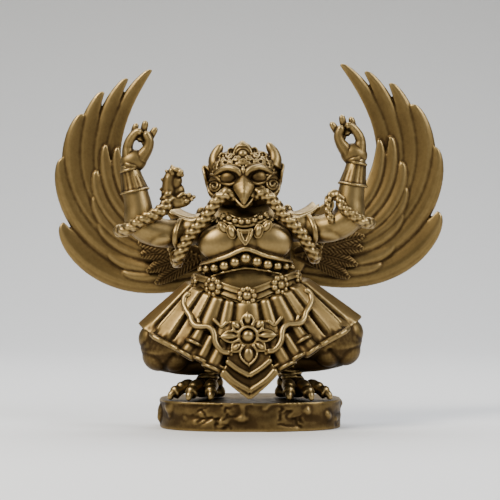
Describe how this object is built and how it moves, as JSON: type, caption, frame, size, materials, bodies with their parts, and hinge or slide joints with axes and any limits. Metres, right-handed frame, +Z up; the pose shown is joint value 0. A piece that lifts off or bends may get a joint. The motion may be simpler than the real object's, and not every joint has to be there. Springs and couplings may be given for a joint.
{
  "type": "garuda statuette",
  "caption": "Small cast garuda statuette: squatting, wings spread, a serpent in its beak and round its arms, on a low rock plinth.",
  "frame": {"origin": "middle of the plinth's flat underside", "axes": "+Z up, the garuda faces -Y, +X to the viewer's right (the garuda's left)"},
  "size_m": [0.1293, 0.0482, 0.1196],
  "materials": {
    "antique_bronze": "satin"
  },
  "bodies": {
    "root": {"figure": "antique_bronze", "wing_right": "antique_bronze", "wing_left": "antique_bronze", "plinth": "antique_bronze"}
  },
  "joints": []
}
